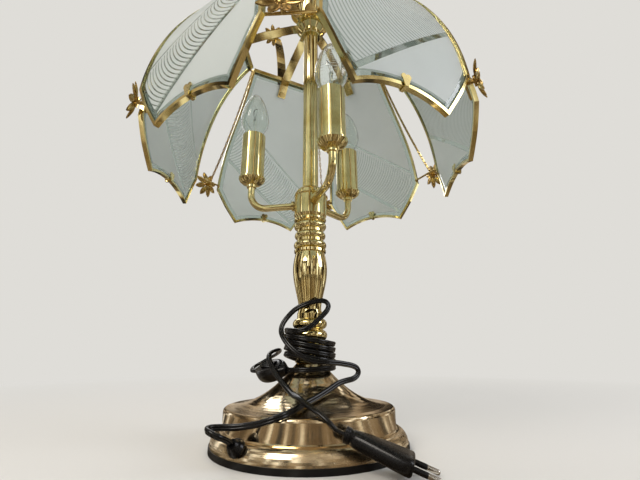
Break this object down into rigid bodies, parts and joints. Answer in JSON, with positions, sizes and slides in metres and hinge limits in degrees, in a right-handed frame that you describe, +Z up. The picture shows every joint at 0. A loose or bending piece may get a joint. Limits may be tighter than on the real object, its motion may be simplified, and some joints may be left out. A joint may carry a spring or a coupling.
{
  "type": "table lamp",
  "caption": "Tulip-shaped table lamp: bowed etched glass panels in brass edging, brass rosettes and chains, candle bulbs on curved arms, turned brass stem, cord wound round it.",
  "frame": {"origin": "centre of the foot ring's underside", "axes": "+Z up along the stem, -Y towards the camera of the picture, +X to the right of the picture"},
  "size_m": [0.3714, 0.389, 0.624],
  "materials": {
    "lacquered_brass": "polished and lacquered",
    "rosette_brass": "pressed sheet, polished, with dull grooves",
    "edging_brass": "polished came",
    "base_brass": "spun, polished, with fine pits and wear",
    "frosted_glass": "acid-etched inside a clear bevelled border",
    "bulb_glass": "clear",
    "nickel_cap": "bright, threaded",
    "white_plastic": "satin",
    "black_cable": "soft glossy sheath",
    "black_plastic": "glossy moulding",
    "black_rubber": "matt",
    "cast_iron": "as cast",
    "cover_felt": "felt-covered card",
    "zinc_steel": "zinc-plated"
  },
  "bodies": {
    "stand": {"foot_ring": "black_rubber", "base_shell": "base_brass", "base_weight": "cast_iron", "base_cover": "cover_felt", "spacer_tube": "zinc_steel", "tie_rod": "zinc_steel", "base_nut": "zinc_steel", "cord_grommet": "black_plastic", "inner_lead": "black_cable", "bead_turning": "lacquered_brass", "stem_vase": "lacquered_brass", "ring_turning": "lacquered_brass", "arm_hub": "lacquered_brass", "hub_cap": "lacquered_brass", "upper_tube": "lacquered_brass", "arm_1": "lacquered_brass", "arm_2": "lacquered_brass", "arm_3": "lacquered_brass", "bulb_cup_1": "lacquered_brass", "bulb_cup_2": "lacquered_brass", "bulb_cup_3": "lacquered_brass", "candle_tube_1": "lacquered_brass", "candle_tube_2": "lacquered_brass", "candle_tube_3": "lacquered_brass", "bulb_holder_1": "white_plastic", "bulb_holder_2": "white_plastic", "bulb_holder_3": "white_plastic", "cord_feed": "black_cable", "cord_winding": "black_cable", "cord_tail": "black_cable", "switch_body": "black_plastic", "plug": "black_plastic"},
    "shade": {"shade_spider": "lacquered_brass", "crown_cup": "lacquered_brass", "panel_screws": "lacquered_brass", "flower_ribbons": "lacquered_brass", "top_rosettes": "rosette_brass", "side_rosettes": "rosette_brass", "corner_chains": "lacquered_brass", "edge_clips": "lacquered_brass", "glass_panel_1": "frosted_glass", "glass_panel_2": "frosted_glass", "glass_panel_3": "frosted_glass", "glass_panel_4": "frosted_glass", "glass_panel_5": "frosted_glass", "glass_panel_6": "frosted_glass", "panel_edging_1": "edging_brass", "panel_edging_2": "edging_brass", "panel_edging_3": "edging_brass", "panel_edging_4": "edging_brass", "panel_edging_5": "edging_brass", "panel_edging_6": "edging_brass"},
    "finial_knob": {"finial": "lacquered_brass"},
    "rocker": {"switch_rocker": "black_plastic"},
    "bulb_1": {"bulb_glass_1": "bulb_glass", "bulb_mount_1": "nickel_cap"},
    "bulb_2": {"bulb_glass_2": "bulb_glass", "bulb_mount_2": "nickel_cap"},
    "bulb_3": {"bulb_glass_3": "bulb_glass", "bulb_mount_3": "nickel_cap"}
  },
  "joints": [
    {"name": "shade_swivel", "type": "hinge", "parent": "stand", "child": "shade", "pos_m": [0, 0, 0.4973], "axis": [0, 0, 1], "continuous": true},
    {"name": "finial_turn", "type": "hinge", "parent": "stand", "child": "finial_knob", "pos_m": [0, 0, 0.5511], "axis": [0, 0, 1], "continuous": true},
    {"name": "bulb_1_turn", "type": "hinge", "parent": "stand", "child": "bulb_1", "pos_m": [0.02105, -0.06885, 0.33], "axis": [0, 0, 1], "continuous": true},
    {"name": "bulb_2_turn", "type": "hinge", "parent": "stand", "child": "bulb_2", "pos_m": [0.0491, 0.05266, 0.33], "axis": [0, 0, 1], "continuous": true},
    {"name": "bulb_3_turn", "type": "hinge", "parent": "stand", "child": "bulb_3", "pos_m": [-0.07015, 0.0162, 0.33], "axis": [0, 0, 1], "continuous": true},
    {"name": "rocker_tilt", "type": "hinge", "parent": "stand", "child": "rocker", "pos_m": [-0.03982, 0.00135, 0.07016], "axis": [-0.5495, -0.5799, -0.6014], "range_deg": [0, 12]}
  ]
}
